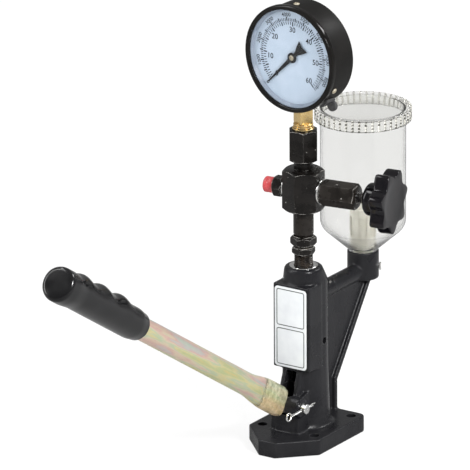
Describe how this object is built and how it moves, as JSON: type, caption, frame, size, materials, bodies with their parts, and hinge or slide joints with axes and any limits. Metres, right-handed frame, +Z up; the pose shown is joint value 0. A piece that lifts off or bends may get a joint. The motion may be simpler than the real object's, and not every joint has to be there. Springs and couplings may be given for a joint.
{
  "type": "diesel_injector_tester",
  "caption": "Hand pumped bench tester for diesel injectors: cast pump column, hand lever, clear fuel cup, shut off valve with star knob and round pressure gauge.",
  "frame": {"origin": "On the underside of the foot, under the axis of the pump column.", "axes": "+Z runs up the pump column. -Y is the front, where the lever and the label plate are, +Y is the back, where the fuel cup stands, and +X is the side of the shut off valve. The rest pose has the lever raised, the valve open, the needle at zero, the lid on and the cap on the outlet."},
  "size_m": [0.1342, 0.505, 0.3876],
  "materials": {
    "black_paint": "black paint, satin, over rough casting",
    "black_oxide": "black oxide steel, oiled",
    "black_plastic": "moulded, glossy",
    "gauge_black": "smooth black enamel",
    "needle_black": "matte black",
    "grip_rubber": "smooth, slightly glossy",
    "vent_rubber": "matte",
    "bright_steel": "zinc plated, bright",
    "ground_steel": "ground",
    "forged_steel": "hardened, dark",
    "spring_steel": "drawn wire",
    "yellow_zinc": "yellow passivated zinc plating",
    "brass": "turned",
    "phosphor_bronze": "drawn tube",
    "clear_plastic": "clear moulded plastic, slightly scuffed",
    "window_glass": "clear flat window",
    "cream_plastic": "moulded",
    "red_plastic": "soft moulded cap",
    "dial_paint": "pale blue, matte",
    "plate_silver": "foil, satin"
  },
  "bodies": {
    "frame": {"pump_housing": "black_paint", "label_plate": "plate_silver", "boss_plug": "bright_steel", "pump_barrel": "ground_steel", "return_spring": "spring_steel", "valve_seat": "ground_steel", "valve_spring": "spring_steel", "valve_holder": "black_oxide", "collar_ring": "bright_steel", "lock_nut": "black_oxide", "union_nut": "black_oxide", "riser": "black_oxide", "cross_block": "black_oxide", "gauge_adapter": "black_oxide", "gauge_washer": "bright_steel", "gauge_socket": "brass", "gauge_case": "gauge_black", "gauge_bezel": "gauge_black", "gauge_window": "window_glass", "gauge_dial": "dial_paint", "rim_screw_1": "brass", "rim_screw_2": "brass", "rim_screw_3": "brass", "vent_plug": "vent_rubber", "bourdon_tube": "phosphor_bronze", "movement_frame": "brass", "valve_washer": "bright_steel", "valve_bonnet": "black_oxide", "outlet_washer": "bright_steel", "outlet_fitting": "black_oxide", "fuel_cup": "clear_plastic", "fuel_strainer": "cream_plastic", "pivot_pin": "ground_steel", "cotter_pin": "bright_steel"},
    "lever": {"lever_block": "forged_steel", "lever_tube": "yellow_zinc", "lever_grip": "grip_rubber"},
    "plunger": {"plunger": "ground_steel", "tappet": "forged_steel", "spring_seat": "forged_steel"},
    "valve_ball": {"valve_ball": "ground_steel"},
    "valve_spindle": {"valve_spindle": "forged_steel"},
    "valve_knob": {"valve_knob": "black_plastic"},
    "needle": {"gauge_needle": "needle_black", "needle_arbor": "brass", "needle_cap": "brass"},
    "lid": {"cup_lid": "clear_plastic"},
    "dust_cap": {"dust_cap": "red_plastic"}
  },
  "joints": [
    {"name": "lever_swing", "type": "hinge", "parent": "frame", "child": "lever", "pos_m": [0, -0.03, 0.0385], "axis": [1, 0, 0], "range_deg": [0, 34.5], "stiffness_Nm_per_rad": 3, "springref_deg": -20.05},
    {"name": "plunger_slide", "type": "slide", "parent": "frame", "child": "plunger", "axis": [0, 0, 1], "range_m": [0, 0.0178], "deforming": ["return_spring"]},
    {"name": "ball_lift", "type": "slide", "parent": "frame", "child": "valve_ball", "axis": [0, 0, 1], "range_m": [0, 0.001], "stiffness_N_per_m": 60, "springref_m": -0.002, "deforming": ["valve_spring"]},
    {"name": "spindle_travel", "type": "slide", "parent": "frame", "child": "valve_spindle", "axis": [-0.9893, -0.1461, 0], "range_m": [0, 0.00225]},
    {"name": "knob_turn", "type": "hinge", "parent": "valve_spindle", "child": "valve_knob", "pos_m": [0.06925, 0.01023, 0.2212], "axis": [-0.9893, -0.1461, 0], "range_deg": [0, 540]},
    {"name": "needle_turn", "type": "hinge", "parent": "frame", "child": "needle", "pos_m": [0, 0, 0.3407], "axis": [0.0889, 0.996, 0], "range_deg": [0, 270], "stiffness_Nm_per_rad": 0.0002, "springref_deg": -11.46},
    {"name": "lid_lift", "type": "slide", "parent": "frame", "child": "lid", "axis": [0, 0, 1], "range_m": [0, 0.04]},
    {"name": "cap_pull", "type": "slide", "parent": "frame", "child": "dust_cap", "axis": [-0.9893, -0.1461, 0], "range_m": [0, 0.03]}
  ],
  "couplings": [
    {"joint": "plunger_slide", "follows": "lever_swing", "m_per_rad": 0.029549},
    {"joint": "knob_turn", "follows": "spindle_travel", "rad_per_m": 4188.8}
  ]
}
